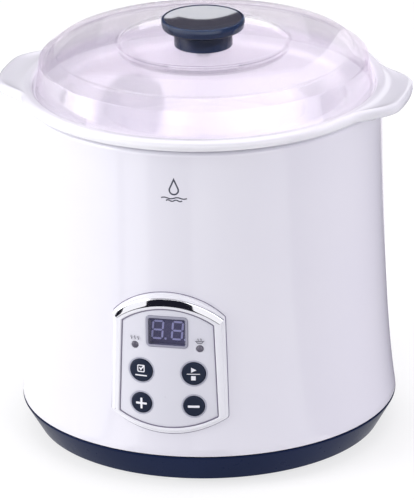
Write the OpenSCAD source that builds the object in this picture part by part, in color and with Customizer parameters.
// Electric yogurt maker with a ceramic inner pot, a clear lid and a front control panel.
// Millimetres, +Z up. The origin is on the table, under the middle of the base.
// The control panel faces -Y and the pot's ears point along X.

/* [Housing] */
// Radius of the housing at the seam with the base ring
seam_radius = 95; // [94.5:0.1:95.5]
// Height of the seam above the table
seam_height = 16.7; // [16.2:0.1:17.2]
// Radius that the housing narrows to
waist_radius = 88.8; // [88.6:0.1:89.2]
// Height over which the flare dies away
flare_length = 45; // [43:0.5:47]
// Height of the housing's top edge
housing_top = 174.5; // [174:0.1:175]
// Wall thickness of the outer shell
shell_wall = 2.5; // [2.3:0.1:2.6]

/* [Base] */
// Height of the rubber feet below the base ring
foot_height = 2; // [1.5:0.1:2.4]
// Radius of the base ring where it meets the feet
ring_foot_radius = 87.1; // [86:0.1:88]
// Distance of the feet from the middle
foot_circle = 68; // [62:1:72]
// Number of feet and of base screws
foot_count = 4; // [3:1:6]

/* [Pot] */
// Outer radius of the pot's wall
pot_radius = 76.5; // [76:0.1:76.6]
// Thickness of the pot's wall
pot_wall = 6; // [5:0.5:8]
// Height of the pot's underside
pot_bottom = 37.8; // [37.8:0.1:38.5]
// Outer radius of the pot's rim
rim_radius = 93; // [92.5:0.1:93.5]
// Radius of the ears at their tips
ear_radius = 104.5; // [100:0.5:106]
// Angle at which an ear's tip ends
ear_tip_angle = 9; // [6:1:12]
// Angle at which an ear has run out into the rim
ear_root_angle = 25; // [22:1:30]

/* [Lid] */
// Outer radius of the lid's skirt
lid_radius = 84.5; // [84.2:0.1:84.6]
// Height of the lid's raised middle ring
lid_crest = 203.1; // [202.6:0.1:204]
// Radius of the lid's raised middle ring
crest_radius = 42.8; // [38:0.2:46]
// Wall thickness of the lid
lid_wall = 2; // [1.8:0.1:2.2]
// Radius of the knob's disc
knob_radius = 20.9; // [20:0.1:22]
// Radius of the knob's neck
knob_neck = 14.6; // [12:0.1:15]

/* [Panel] */
// Half width of the panel at its top corners
panel_half_top = 28; // [27:0.5:29]
// Half width of the panel at its bottom corners
panel_half_bottom = 29.5; // [29:0.5:31]
// Radius of the two large buttons
large_button = 5.8; // [5.4:0.1:6]
// Radius of the two small buttons
small_button = 5.2; // [4.8:0.1:5.6]
// How far a button travels
button_travel = 0.6; // [0.4:0.1:0.6]
// Width of the display's window
window_w = 18.7; // [18:0.1:19]
// Height of the display's window
window_h = 13.7; // [13.4:0.1:14.2]
// Height of a digit
digit_h = 10.1; // [9:0.1:10.4]

/* [Hidden] */
$fn = 96;
eps = 0.01;

// The pot, the liner and the lid stack upwards from the pot's underside and the housing's top.
pot_floor = pot_bottom + 7;
rim_bottom = housing_top + 1.5;
ledge = rim_bottom + 1.1;
rim_top = rim_bottom + 5.5;
ledge_radius = rim_radius - 7.9;
liner_inner = pot_radius + 1;
liner_outer = liner_inner + 1;
liner_floor = pot_bottom - 1.3;
liner_flange = housing_top - 2.5;
spigot_radius = liner_outer + 5.7;
spigot_bottom = liner_flange + 1.6;
lid_bottom = ledge + 0.3;
lid_disc = lid_crest - 3.3;
knob_base = lid_disc;
knob_top = knob_base + 14.2;
dish_radius = knob_radius - 1.5;
dish_depth = 3.2;
screw_hole = 1.6;
screw_shank = 1.5;

// The panel's own surfaces are cones round the housing's axis, a little steeper than a cylinder.
panel_low = 29;
panel_high = 102;
panel_face = seam_radius - 0.1;
panel_slope = 0.036;
insert_depth = 0.6;
insert_wall = 1.8;
board_front = 85;
board_wall = 1.6;
switch_front = board_front + 2.2;
switch_floor = board_front + 0.4;
stem_back = switch_floor + button_travel + 0.2;
stem_front = 88.6;
stem_radius = 1.7;
button_gap = 0.15;
display_z = 82;
display_face = 90;
lamp_z = 74;
lamp_x = 16.3;
lamp_radius = 1.75;
upper_row = 61;
lower_row = 44;
button_x = 13.2;
panel_screw_spots = [[-17, 84], [17, 84], [0, 50]];

// The power inlet is a two-pin socket low on the back.
inlet_z = 30;
inlet_face = 92.9;
inlet_flange = 1.5;
socket_w = 15.6;
socket_h = 8.6;
socket_depth = 12;
pin_pitch = 8.6;
inlet_back = 75;
pin_back = 71;

// The power board lies on spacers over the bottom cover, with the leads' ends on it.
power_z = foot_height + 8;
power_w = 70;
power_d = 46;
power_y = 4;
power_holes = [[-31, -15], [31, -15], [-31, 23], [31, 23]];
board_top = power_z + board_wall;
terminal_y = 19.5;
lead_slot_x = [14, 20];
lead_slot_radius = 80.2;

housing_white = [0.94, 0.94, 0.97];
navy = [0.13, 0.16, 0.27];
pearl = [0.88, 0.88, 0.92];
metal = [0.78, 0.79, 0.82];
board_green = [0.10, 0.35, 0.22];
icon_white = [0.95, 0.95, 0.97];

// ---------- shared shapes ----------

// Outer radius of the housing at height z: a concave flare on a nearly straight wall.
function shell_radius(z) =
    waist_radius + (seam_radius - waist_radius) * exp((seam_height - z) / flare_length);

function shell_line(z_from, z_to, inset, steps) =
    [for (i = [0:steps]) let (z = z_from + (z_to - z_from) * i / steps)
        [shell_radius(z) - inset, z]];

// Radius of the panel's front face at height z.
function panel_radius(z) = panel_face - (z - panel_low) * panel_slope;

// A circular arc from (-half, z_end) over (0, z_mid) to (half, z_end), as points.
function arc_points(half, z_end, z_mid, steps = 24) =
    let (rise = z_mid - z_end,
        r = (half * half + rise * rise) / (2 * rise),
        sweep = asin(half / abs(r)))
    [for (i = [0:steps]) let (a = sweep * (2 * i / steps - 1))
        [abs(r) * sin(a), z_mid - r + r * cos(a)]];

function reversed(list) = [for (i = [len(list) - 1:-1:0]) list[i]];

// An outline with straight sides between an arched top and an arched bottom.
module shield(half_top, half_bottom, top_corner, top_mid, bottom_corner, bottom_mid) {
    polygon(concat(arc_points(half_top, top_corner, top_mid),
        reversed(arc_points(half_bottom, bottom_corner, bottom_mid))));
}

module rounded_rect(w, h, r) {
    square([w - 2 * r, h], center = true);
    square([w, h - 2 * r], center = true);
    for (x = [-1, 1], y = [-1, 1])
        translate([x * (w / 2 - r), y * (h / 2 - r)]) circle(r, $fn = 32);
}

// Turns a front-view drawing, with x across and y up, into a bar from y_near to y_far.
module from_front(y_near, y_far) {
    translate([0, -y_near, 0]) rotate([90, 0, 0]) linear_extrude(y_far - y_near) children();
}

// The layer of the panel from depth outer to depth inner below its front face.
module panel_layer(outer, inner) {
    z0 = panel_low - 3;
    z1 = panel_high + 3;
    rotate_extrude() polygon([[panel_radius(z0) - inner, z0], [panel_radius(z0) - outer, z0],
        [panel_radius(z1) - outer, z1], [panel_radius(z1) - inner, z1]]);
}

// A front-view drawing laid into a layer of the panel.
module on_panel(outer, inner) {
    intersection() {
        panel_layer(outer, inner);
        from_front(60, 110) children();
    }
}

// A cylinder along Y, from y_near to y_far in front of the housing's axis.
module front_pin(x, z, r, y_near, y_far) {
    translate([x, -y_near, z]) rotate([90, 0, 0]) cylinder(h = y_far - y_near, r = r);
}

module tube(r_out, r_in, z0, z1) {
    translate([0, 0, z0]) difference() {
        cylinder(h = z1 - z0, r = r_out);
        translate([0, 0, -1]) cylinder(h = z1 - z0 + 2, r = r_in);
    }
}

module ring_of(count, radius, start = 45) {
    for (i = [0:count - 1]) rotate(start + i * 360 / count) translate([radius, 0, 0]) children();
}

// A round lead along straight runs, with a ball at each bend.
module lead(points, r) {
    for (i = [0:len(points) - 2]) {
        run = points[i + 1] - points[i];
        length = norm(run);
        translate(points[i]) rotate([0, acos(run[2] / length), atan2(run[1], run[0])])
            cylinder(h = length, r = r, $fn = 24);
        if (i > 0) translate(points[i]) sphere(r, $fn = 24);
    }
}

// ---------- housing and base ----------

module insert_outline(grow = 0) {
    shield(22.8 + grow, 24.7 + grow, 85.7 + grow, 93.6 + grow, 38.5 - grow, 32.4 - grow);
}

module outer_shell() {
    z0 = seam_height + 0.3;
    lip = liner_outer + 6.7;
    color(housing_white) difference() {
        rotate_extrude() polygon(concat(
            shell_line(z0, housing_top - 1.5, 0, 28),
            [[shell_radius(housing_top) - 0.5, housing_top - 0.5],
             [shell_radius(housing_top) - 1.5, housing_top],
             [lip + 0.5, housing_top], [lip, housing_top - 0.5], [lip, liner_flange]],
            reversed(shell_line(z0, liner_flange, shell_wall, 28))));
        from_front(60, 110) insert_outline(0.3);
        translate([0, inlet_face - inlet_flange + 10, inlet_z]) cube([27.4, 20, 16.4], center = true);
        translate([0, inlet_face, inlet_z]) cube([20.4, 20, 12], center = true);
    }
}

// The ring's outside is a cone from a small bevel at the foot edge up to the seam.
module base_ring() {
    wall = 3;
    bevel = 0.6;
    outside = [[ring_foot_radius - bevel, foot_height], [ring_foot_radius, foot_height + bevel],
        [seam_radius, seam_height - bevel], [seam_radius, seam_height]];
    upstand = shell_radius(seam_height + 5) - shell_wall - 0.3;
    color(navy) difference() {
        rotate_extrude() polygon(concat([[85, foot_height]], outside,
            [[upstand, seam_height], [upstand, seam_height + 4.8],
             [upstand - 2, seam_height + 4.8], [upstand - 2, seam_height - wall],
             [85, foot_height + 5.4], [78, foot_height + 5.4], [78, foot_height + 3],
             [85, foot_height + 3]]));
        ring_of(foot_count, 81.5, 0) translate([0, 0, foot_height]) cylinder(h = 20, r = 1.6);
    }
}

module bottom_cover() {
    top = foot_height + 3;
    color(navy) difference() {
        translate([0, 0, foot_height + 0.6]) cylinder(h = 2.4, r = 84.7);
        ring_of(foot_count, 81.5, 0) translate([0, 0, -1]) cylinder(h = 20, r = 1.7);
        ring_of(24, 48, 0) translate([-9, -1.5, 0]) cube([18, 3, top + 1]);
        ring_of(12, 26, 0) translate([-6, -1.5, 0]) cube([12, 3, top + 1]);
    }
}

module rubber_feet() {
    color([0.12, 0.12, 0.13]) ring_of(foot_count, foot_circle) {
        rotate_extrude($fn = 48) polygon([[0, 0], [7, 0], [8, 1], [8, foot_height + 0.6],
            [0, foot_height + 0.6]]);
    }
}

module base_screws() {
    color(metal) ring_of(foot_count, 81.5, 0) {
        translate([0, 0, foot_height - 1]) cylinder(h = 1.6, r = 2.8, $fn = 32);
        translate([0, 0, foot_height]) cylinder(h = 7, r = screw_shank, $fn = 32);
    }
}

// ---------- heated well ----------

module support_collar() {
    r_in = liner_outer + 0.4;
    r_out = shell_radius(housing_top) - shell_wall - 0.2;
    z = liner_flange;
    color([0.75, 0.76, 0.8]) rotate_extrude() polygon([[r_in, z - 10], [r_out, z - 10],
        [r_out, z], [r_out - 1, z], [r_out - 1, z - 1], [r_in, z - 1]]);
}

module liner_gasket() {
    color([0.6, 0.3, 0.25]) tube(liner_outer + 5.6, liner_outer + 0.5, liner_flange - 1, liner_flange);
}

module liner() {
    z0 = liner_floor;
    z1 = liner_flange + 1;
    color(metal) rotate_extrude() polygon([[0, z0], [liner_outer - 8, z0], [liner_outer - 2.5, z0 + 2.5],
        [liner_outer, z0 + 8], [liner_outer, z1 - 1], [liner_outer + 6.2, z1 - 1],
        [liner_outer + 6.2, z1], [liner_inner, z1], [liner_inner, z0 + 8.3],
        [liner_inner - 2.3, z0 + 3.1], [liner_inner - 7.5, z0 + 1], [0, z0 + 1]]);
}

// Three posts and a ring carry the well on the base ring's inner flange.
module liner_stand() {
    z0 = foot_height + 5.4;
    color([0.7, 0.71, 0.74]) {
        difference() {
            tube(66, 60, liner_floor - 2, liner_floor);
            ring_of(2, 63, 90) translate([0, 0, liner_floor - 3]) cylinder(h = 4, r = 1.6);
        }
        ring_of(3, 72, 45) {
            translate([6.5, -5, z0]) cube([6, 10, 1.5]);
            translate([6.5, -5, z0]) cube([1.5, 10, liner_floor - 2 - z0]);
            translate([-7, -5, liner_floor - 2]) cube([15, 10, 1.5]);
        }
    }
}

// The gap that the heater's leads run down through.
module lead_slot() {
    translate([lead_slot_x[0], 60, 40]) cube([lead_slot_x[1] - lead_slot_x[0], 60, 60]);
}

module heater_film() {
    color([0.75, 0.35, 0.15]) difference() {
        tube(liner_outer + 0.9, liner_outer, 52, 92);
        lead_slot();
    }
}

module insulation_sleeve() {
    color([0.85, 0.84, 0.8]) difference() {
        tube(liner_outer + 3.4, liner_outer + 1, 50, 158);
        lead_slot();
    }
}

module temperature_sensor() {
    color(metal) translate([0, 0, liner_floor]) mirror([0, 0, 1]) {
        cylinder(h = 5, r = 6, $fn = 48);
        cylinder(h = 8, r = 3.5, $fn = 48);
    }
}

// A conical coil presses the sensor against the well; its turns are flat rings.
module sensor_spring() {
    color([0.6, 0.6, 0.63]) for (i = [0:4])
        translate([0, 0, liner_floor - 6.2 - i * 1.8])
            rotate_extrude($fn = 48) translate([4.4 + i * 0.5, 0]) circle(0.4, $fn = 16);
}

module thermal_fuse() {
    color([0.9, 0.88, 0.8]) translate([24, -9, liner_floor - 2.2]) rotate([-90, 0, 0])
        cylinder(h = 18, r = 2.2, $fn = 32);
}

module fuse_clip() {
    color(metal) difference() {
        translate([20, -4, liner_floor - 5.2]) cube([8, 8, 5.2]);
        translate([24, -10, liner_floor - 2.2]) rotate([-90, 0, 0]) cylinder(h = 20, r = 2.25, $fn = 32);
        translate([21.75, -10, liner_floor - 2.2]) cube([4.5, 20, 5]);
    }
}

// ---------- control panel ----------

module chrome_outline(grow = 0) {
    polygon(concat(arc_points(28 + grow, 88.8 + grow, 99.8 + grow),
        reversed(arc_points(25.7 + grow, 86.5 - grow, 95.5 - grow))));
}

// The bezel is a low step with a raised frame on it, laid on the housing's curve.
module panel_bezel() {
    color(housing_white) difference() {
        intersection() {
            rotate_extrude() polygon(concat(
                shell_line(panel_low - 2, panel_high + 2, -0.05, 14),
                [[panel_radius(panel_high + 2), panel_high + 2],
                 [panel_radius(panel_low - 2), panel_low - 2]]));
            union() {
                from_front(60, 94.6) shield(panel_half_top - 1, panel_half_bottom - 1,
                    88.7, panel_high - 1, 38.3, panel_low + 1);
                intersection() {
                    panel_layer(0.8, 6);
                    from_front(60, 94.6) shield(panel_half_top, panel_half_bottom,
                        89.5, panel_high, 37.6, panel_low);
                }
            }
        }
        from_front(60, 110) insert_outline(0.3);
        on_panel(-1, 0.65) chrome_outline(0.05);
    }
}

module chrome_trim() {
    color([0.85, 0.86, 0.88]) on_panel(-0.4, 0.6) chrome_outline();
}

module panel_insert() {
    color(pearl) difference() {
        union() {
            on_panel(insert_depth, insert_depth + insert_wall) insert_outline();
            intersection() {
                for (p = panel_screw_spots) front_pin(p[0], p[1], 2.6, board_front, 92);
                rotate_extrude() polygon([[40, 30], [panel_radius(30) - 1.5, 30],
                    [panel_radius(100) - 1.5, 100], [40, 100]]);
            }
        }
        translate([0, 0, display_z]) from_front(60, 110) rounded_rect(21.2, window_h + 2.6, 2.1);
        for (x = [-lamp_x, lamp_x]) front_pin(x, lamp_z, lamp_radius + 0.1, 60, 110);
        for (x = [-button_x, button_x]) {
            front_pin(x, upper_row, large_button + button_gap, 60, 110);
            front_pin(x, lower_row, small_button + button_gap, 60, 110);
        }
        for (p = panel_screw_spots) front_pin(p[0], p[1], 1.1, board_front - 1, board_front + 2.5);
        on_panel(0, insert_depth + 0.35) for (x = [-button_x, button_x]) {
            translate([x, upper_row]) circle(large_button + 0.9);
            translate([x, lower_row]) circle(small_button + 0.9);
        }
    }
}

module display_frame() {
    color([0.62, 0.62, 0.68]) translate([0, 0, display_z]) intersection() {
        translate([0, 0, -display_z]) panel_layer(0.2, 3);
        difference() {
            from_front(60, 110) rounded_rect(21, window_h + 2.4, 2);
            from_front(59, 111) rounded_rect(window_w, window_h, 1);
        }
    }
}

module display_lens() {
    color([0.25, 0.24, 0.38]) translate([0, 0, display_z]) intersection() {
        translate([0, 0, -display_z]) panel_layer(0.6, 1.6);
        from_front(60, 110) rounded_rect(window_w, window_h, 1);
    }
}

// The module fits inside the frame, behind the window, and stands on the control board.
module display_module() {
    w = window_w - 0.2;
    h = window_h - 0.2;
    color([0.2, 0.2, 0.28]) translate([-w / 2, -display_face, display_z - h / 2])
        cube([w, display_face - board_front, h]);
}

// One bar of a digit, leaning with the digit, between two corners of its frame.
module digit_bar(x0, z0, x1, z1) {
    lean = 0.1;
    half = 0.48;
    along = [x1 - x0, z1 - z0] / norm([x1 - x0, z1 - z0]);
    side = [-along[1], along[0]] * half;
    a = [x0, z0] + along * 0.25;
    b = [x1, z1] - along * 0.25;
    outline = [a, a + along * half + side, b - along * half + side, b,
        b - along * half - side, a + along * half - side];
    polygon([for (p = outline) [p[0] + p[1] * lean, p[1]]]);
}

module digit() {
    half_w = 2.5;
    half_h = (digit_h - 1) / 2;
    for (z = [-half_h, 0, half_h]) digit_bar(-half_w, z, half_w, z);
    for (x = [-half_w, half_w], z = [0, half_h]) digit_bar(x, z - half_h, x, z);
    translate([half_w + 1.3, -half_h]) circle(0.55, $fn = 24);
}

module digit_segments() {
    color([0.75, 0.75, 0.88]) for (x = [-4.9, 4.95])
        translate([x, 0, display_z + 0.4]) from_front(display_face, display_face + 0.2) digit();
}

module lamp(x) {
    front = sqrt(pow(panel_radius(lamp_z) - 0.3, 2) - x * x);
    front_pin(x, lamp_z, lamp_radius, board_front, front - 0.6);
    translate([x, -(front - 0.6), lamp_z]) rotate([90, 0, 0])
        rotate_extrude($fn = 32) polygon([[0, 0], [lamp_radius, 0], [lamp_radius * 0.85, 0.35],
            [lamp_radius * 0.5, 0.55], [0, 0.6]]);
}

module heating_lamp() {
    color([0.45, 0.44, 0.5]) lamp(-lamp_x);
}

module keep_warm_lamp() {
    color([0.45, 0.44, 0.5]) lamp(lamp_x);
}

module control_board() {
    color(board_green) difference() {
        translate([-19.5, -board_front, 35.5]) cube([39, board_wall, 56]);
        for (p = panel_screw_spots) front_pin(p[0], p[1], 1.3, 80, 90);
    }
}

module switch_bodies() {
    color([0.2, 0.2, 0.22]) for (x = [-button_x, button_x], z = [lower_row, upper_row])
        difference() {
            translate([x - 3.1, -switch_front, z - 3.1]) cube([6.2, switch_front - board_front, 6.2]);
            front_pin(x, z, stem_radius + 0.1, switch_floor, 90);
        }
}

module panel_screws() {
    back = board_front - board_wall;
    color(metal) for (p = panel_screw_spots) {
        front_pin(p[0], p[1], 2, back - 0.9, back);
        front_pin(p[0], p[1], 1, back, board_front + 2.4);
    }
}

// ---------- buttons ----------

module button_cap(x, z, r) {
    color(navy) {
        intersection() {
            panel_layer(-0.1, insert_depth + insert_wall + 1);
            front_pin(x, z, r, 60, 110);
        }
        intersection() {
            panel_layer(insert_depth + insert_wall + 0.3, insert_depth + insert_wall + 1.1);
            front_pin(x, z, r + 0.8, 60, 110);
        }
        intersection() {
            panel_layer(1, 20);
            front_pin(x, z, 2.2, stem_front, 110);
        }
    }
}

// Icons are thin inlays that stand a little proud of the cap.
module button_icon(x, z) {
    color(icon_white) intersection() {
        panel_layer(-0.25, -0.1);
        translate([0, 0, z]) from_front(60, 110) translate([x, 0]) children();
    }
}

module switch_stem(x, z) {
    color([0.15, 0.15, 0.17]) front_pin(x, z, stem_radius, stem_back, stem_front);
}

// A ticked box over a short bar.
module tick_mark() {
    difference() {
        translate([0, 1.2]) rounded_rect(3.8, 3.8, 0.7);
        translate([0, 1.2]) rounded_rect(2.8, 2.8, 0.4);
    }
    polygon([[-1, 1.5], [-0.5, 2], [-0.1, 1.2], [1.4, 3.2], [2, 2.8], [-0.1, 0.1]]);
    translate([0, -2.4]) square([6, 0.6], center = true);
}

// A triangle over a line over a square: start above, stop below.
module start_stop_mark() {
    polygon([[-1.1, 0.8], [-1.1, 3.4], [1.5, 2.1]]);
    square([6.4, 0.35], center = true);
    translate([0, -2.1]) square([2.2, 2.2], center = true);
}

module minus_mark() {
    rounded_rect(5.8, 1.1, 0.3);
}

module plus_mark() {
    rounded_rect(5.6, 1.05, 0.3);
    rounded_rect(1.05, 5.6, 0.3);
}

module function_button() button_cap(-button_x, upper_row, large_button);
module start_button() button_cap(button_x, upper_row, large_button);
module plus_button() button_cap(-button_x, lower_row, small_button);
module minus_button() button_cap(button_x, lower_row, small_button);
module function_icon() button_icon(-button_x, upper_row) tick_mark();
module start_icon() button_icon(button_x, upper_row) start_stop_mark();
module plus_icon() button_icon(-button_x, lower_row) plus_mark();
module minus_icon() button_icon(button_x, lower_row) minus_mark();
module function_stem() switch_stem(-button_x, upper_row);
module start_stem() switch_stem(button_x, upper_row);
module plus_stem() switch_stem(-button_x, lower_row);
module minus_stem() switch_stem(button_x, lower_row);

// ---------- electronics in the base ----------

module power_board() {
    color(board_green) difference() {
        translate([-power_w / 2, power_y - power_d / 2, power_z]) cube([power_w, power_d, board_wall]);
        for (p = power_holes) translate([p[0], p[1], 0]) cylinder(h = 30, r = 1.6, $fn = 32);
    }
}

// Each screw carries its own spacer between the cover and the board.
module power_board_screws() {
    color(metal) for (p = power_holes) translate([p[0], p[1], 0]) {
        translate([0, 0, board_top]) cylinder(h = 1.8, r = 2.8, $fn = 32);
        translate([0, 0, power_z]) cylinder(h = board_wall, r = screw_shank, $fn = 32);
        translate([0, 0, foot_height + 3]) cylinder(h = power_z - foot_height - 3, r = 3, $fn = 32);
    }
}

module transformer() {
    color([0.85, 0.75, 0.3]) translate([-24, -8, board_top]) cube([20, 16, 3]);
    color([0.25, 0.25, 0.28]) translate([-21, -5, board_top + 3]) cube([14, 10, 11]);
}

module relay() {
    color([0.15, 0.3, 0.6]) translate([8, -14, board_top]) cube([19, 15, 10.5]);
}

module capacitor() {
    color([0.2, 0.2, 0.45]) translate([-22, 15.5, board_top]) cylinder(h = 14, r = 5, $fn = 48);
}

module terminal_block() {
    color([0.3, 0.55, 0.35]) difference() {
        translate([-8, terminal_y - 4.5, board_top]) cube([24, 9, 9]);
        for (x = [-4, 4, 12]) translate([x, terminal_y, power_z + 6]) cylinder(h = 8, r = 2, $fn = 32);
    }
}

// ---------- leads that stay inside ----------

module ribbon_cable() {
    color([0.8, 0.8, 0.82]) {
        translate([-6, -83.4, 37]) cube([12, 1, 5]);
        translate([-6, -83.4, 22]) cube([12, 1, 15]);
        translate([-6, -83.4, 21]) cube([12, 65, 1]);
        translate([-6, -19.4, board_top]) cube([12, 1, 21 - board_top]);
    }
}

module heater_leads() {
    top = board_top + 11;
    near = terminal_y + 6;
    color([0.75, 0.15, 0.12]) for (x = [lead_slot_x[0] + 1.5, lead_slot_x[1] - 1.5]) {
        y = sqrt(pow(lead_slot_radius, 2) - x * x);
        lead([[x, y, 60], [x, y, top], [x, near, top], [x, near, board_top]], 0.9);
    }
}

module sensor_leads() {
    color([0.1, 0.1, 0.12]) for (y = [-1.2, 1.2])
        lead([[2.4, y, liner_floor - 8], [2.4, y, board_top]], 0.6);
}

module inlet_leads() {
    color([0.2, 0.25, 0.7]) for (side = [-1, 1]) {
        x = side * pin_pitch / 2;
        end_x = 8 + side * 4;
        turn_y = 45 + side * 5;
        lead([[x, pin_back, inlet_z], [x, turn_y, inlet_z], [end_x, turn_y, inlet_z],
            [end_x, terminal_y, inlet_z], [end_x, terminal_y, power_z + 7]], 1.1);
    }
}

// ---------- power inlet ----------

module socket_outline(grow = 0) {
    rounded_rect(socket_w + 2 * grow, socket_h + 2 * grow, 3.6 + grow);
}

module power_inlet() {
    color([0.1, 0.1, 0.11]) mirror([0, 1, 0]) difference() {
        union() {
            translate([0, 0, inlet_z]) from_front(inlet_face - inlet_flange, inlet_face)
                rounded_rect(27, 16, 2);
            translate([0, 0, inlet_z]) from_front(inlet_back, inlet_face - inlet_flange + eps)
                rounded_rect(20, 11.6, 1.5);
        }
        translate([0, 0, inlet_z]) from_front(inlet_face - socket_depth, inlet_face + 1) socket_outline();
        for (x = [-1, 1])
            front_pin(x * pin_pitch / 2, inlet_z, 1.25, inlet_back - 1, inlet_face);
    }
}

module inlet_pins() {
    color([0.85, 0.75, 0.5]) mirror([0, 1, 0]) for (x = [-1, 1])
        front_pin(x * pin_pitch / 2, inlet_z, 1.2, pin_back, inlet_face - 2.5);
}

// ---------- ceramic pot ----------

function ear_share(angle) =
    let (a = abs(angle > 90 ? angle - 180 : angle < -90 ? angle + 180 : angle))
    a <= ear_tip_angle ? 1 : a >= ear_root_angle ? 0
        : (1 + cos(180 * (a - ear_tip_angle) / (ear_root_angle - ear_tip_angle))) / 2;

// One cross section of the rim, as [radius, height] points, for the given share of an ear.
function rim_section(share) =
    let (tip = rim_radius + (ear_radius - rim_radius) * share,
        edge = 2.75,
        mid = rim_bottom + edge,
        root = rim_radius - 3,
        inner = pot_radius - 1.5)
    concat(
        [[inner, spigot_bottom], [spigot_radius, spigot_bottom], [spigot_radius, rim_bottom],
         [root - 0.6, rim_bottom]],
        [for (u = [0:0.25:0.75]) [root + (tip - edge - root) * u,
            rim_bottom - 6 * share * pow(1 - u, 1.6)]],
        [for (a = [-90:30:90]) [tip - edge + edge * cos(a), mid + edge * sin(a)]],
        [for (u = [0.75:-0.25:0]) [root + (tip - edge - root) * u - 0.1,
            rim_top - 0.7 * share * sin(180 * u)]],
        [[root - 1.2, rim_top - 0.1], [ledge_radius + 1.6, rim_top - 0.5],
         [ledge_radius + 0.5, rim_top - 1.6], [ledge_radius, ledge], [inner, ledge]]);

// The rim and both ears are one closed ring of cross sections.
module rim_and_ears() {
    steps = 120;
    sections = [for (i = [0:steps - 1]) let (a = -180 + 360 * i / steps)
        [for (p = rim_section(ear_share(a))) [p[0] * cos(a), p[0] * sin(a), p[1]]]];
    n = len(sections[0]);
    polyhedron(points = [for (s = sections) each s],
        faces = [for (i = [0:steps - 1], j = [0:n - 1])
            let (k = (i + 1) % steps, m = (j + 1) % n)
            each [[i * n + j, i * n + m, k * n + m], [i * n + j, k * n + m, k * n + j]]]);
}

module inner_pot() {
    r = pot_radius;
    r_in = pot_radius - pot_wall;
    corner = 9;
    color([0.95, 0.95, 0.97]) union() {
        rotate_extrude() polygon(concat([[0, pot_bottom]],
            [for (a = [-90:15:0]) [r - corner + corner * cos(a), pot_bottom + corner + corner * sin(a)]],
            [[r, ledge - 0.2], [r_in + 2.5, ledge - 0.2]],
            [for (a = [0:30:90]) [r_in + 2.5 - 2.5 * sin(a), ledge - 2.7 + 2.5 * cos(a)]],
            [for (a = [0:-15:-90]) [r_in - corner + corner * cos(a), pot_floor + corner + corner * sin(a)]],
            [[0, pot_floor]]));
        rim_and_ears();
    }
}

// ---------- lid ----------

function dome(r, r0, z0, r1, z1) = z1 + (z0 - z1) * pow((r - r1) / (r0 - r1), 2);

module lid() {
    crease = 75;
    crease_z = lid_crest - 4.1;
    shoulder = lid_radius - 2.3;
    shoulder_z = lid_bottom + 16.1;
    t = lid_wall;
    steps = 6;
    span = crease - crest_radius;
    color([0.85, 0.84, 0.93, 0.35]) rotate_extrude() polygon(concat(
        [[lid_radius - t, lid_bottom], [lid_radius, lid_bottom], [shoulder + 0.15, shoulder_z - 0.8],
         [shoulder - 0.5, shoulder_z + 0.3], [shoulder - 1.5, shoulder_z + 1.4]],
        [for (i = [0:steps]) let (r = crease - span * i / steps)
            [r, dome(r, crease, crease_z, crest_radius, lid_crest)]],
        [[crest_radius - 1.2, lid_crest - 0.5], [crest_radius - 1.7, lid_disc + 0.5],
         [crest_radius - 2.2, lid_disc], [screw_hole, lid_disc], [screw_hole, lid_disc - t],
         [crest_radius - 0.8, lid_disc - t], [crest_radius + 0.3, lid_disc - t + 0.8],
         [crest_radius + 0.8, lid_crest - t]],
        [for (i = [1:steps]) let (r = crest_radius + 0.8 + (span - 1.4) * i / steps)
            [r, dome(r, crease - 0.6, crease_z - t, crest_radius + 0.8, lid_crest - t)]],
        [[shoulder - 3.2, shoulder_z + 0.9], [shoulder - 2, shoulder_z - 0.2],
         [shoulder - t + 0.4, shoulder_z - 2]]));
}

function dish_line(drop, steps = 6) = [for (i = [0:steps]) let (r = dish_radius * (1 - i / steps))
    [r, knob_top - 0.4 - drop - dish_depth * (1 - pow(r / dish_radius, 2))]];

module lid_knob() {
    z = knob_base;
    neck = knob_neck;
    r = knob_radius;
    color(navy) difference() {
        rotate_extrude() polygon(concat(
            [[0, z], [neck - 0.8, z], [neck, z + 0.8], [neck, z + 6.6], [neck - 0.5, z + 6.9],
             [neck - 0.5, z + 7.6], [neck + 1.4, z + 8], [r - 1.6, z + 8.7], [r - 0.4, z + 9.9],
             [r, z + 11.4], [r, z + 13.2], [r - 0.3, z + 13.9], [r - 0.8, knob_top],
             [dish_radius, knob_top]],
            dish_line(0.8)));
        translate([0, 0, z - 1]) cylinder(h = 8, r = screw_hole, $fn = 32);
    }
}

module knob_dish() {
    color([0.8, 0.81, 0.84]) rotate_extrude() polygon(concat(dish_line(0), reversed(dish_line(0.8))));
}

module knob_screw() {
    under = lid_disc - lid_wall - 1.4;
    color(metal) {
        translate([0, 0, under - 2]) cylinder(h = 2, r = 3.5, $fn = 32);
        translate([0, 0, under]) cylinder(h = 9, r = screw_shank, $fn = 32);
    }
}

module knob_washer() {
    under = lid_disc - lid_wall;
    color(metal) tube(6, screw_hole, under - 1.4, under - 0.6);
}

module knob_seal() {
    under = lid_disc - lid_wall;
    color([0.85, 0.85, 0.88]) tube(7, screw_hole, under - 0.6, under);
}

outer_shell();
base_ring();
bottom_cover();
rubber_feet();
base_screws();
support_collar();
liner_gasket();
liner();
liner_stand();
heater_film();
insulation_sleeve();
temperature_sensor();
sensor_spring();
thermal_fuse();
fuse_clip();
panel_bezel();
chrome_trim();
panel_insert();
display_frame();
display_lens();
display_module();
digit_segments();
heating_lamp();
keep_warm_lamp();
control_board();
switch_bodies();
panel_screws();
ribbon_cable();
power_board();
transformer();
relay();
capacitor();
terminal_block();
power_board_screws();
heater_leads();
sensor_leads();
inlet_leads();
power_inlet();
inlet_pins();
function_button();
function_icon();
function_stem();
start_button();
start_icon();
start_stem();
plus_button();
plus_icon();
plus_stem();
minus_button();
minus_icon();
minus_stem();
inner_pot();
lid();
lid_knob();
knob_dish();
knob_screw();
knob_washer();
knob_seal();
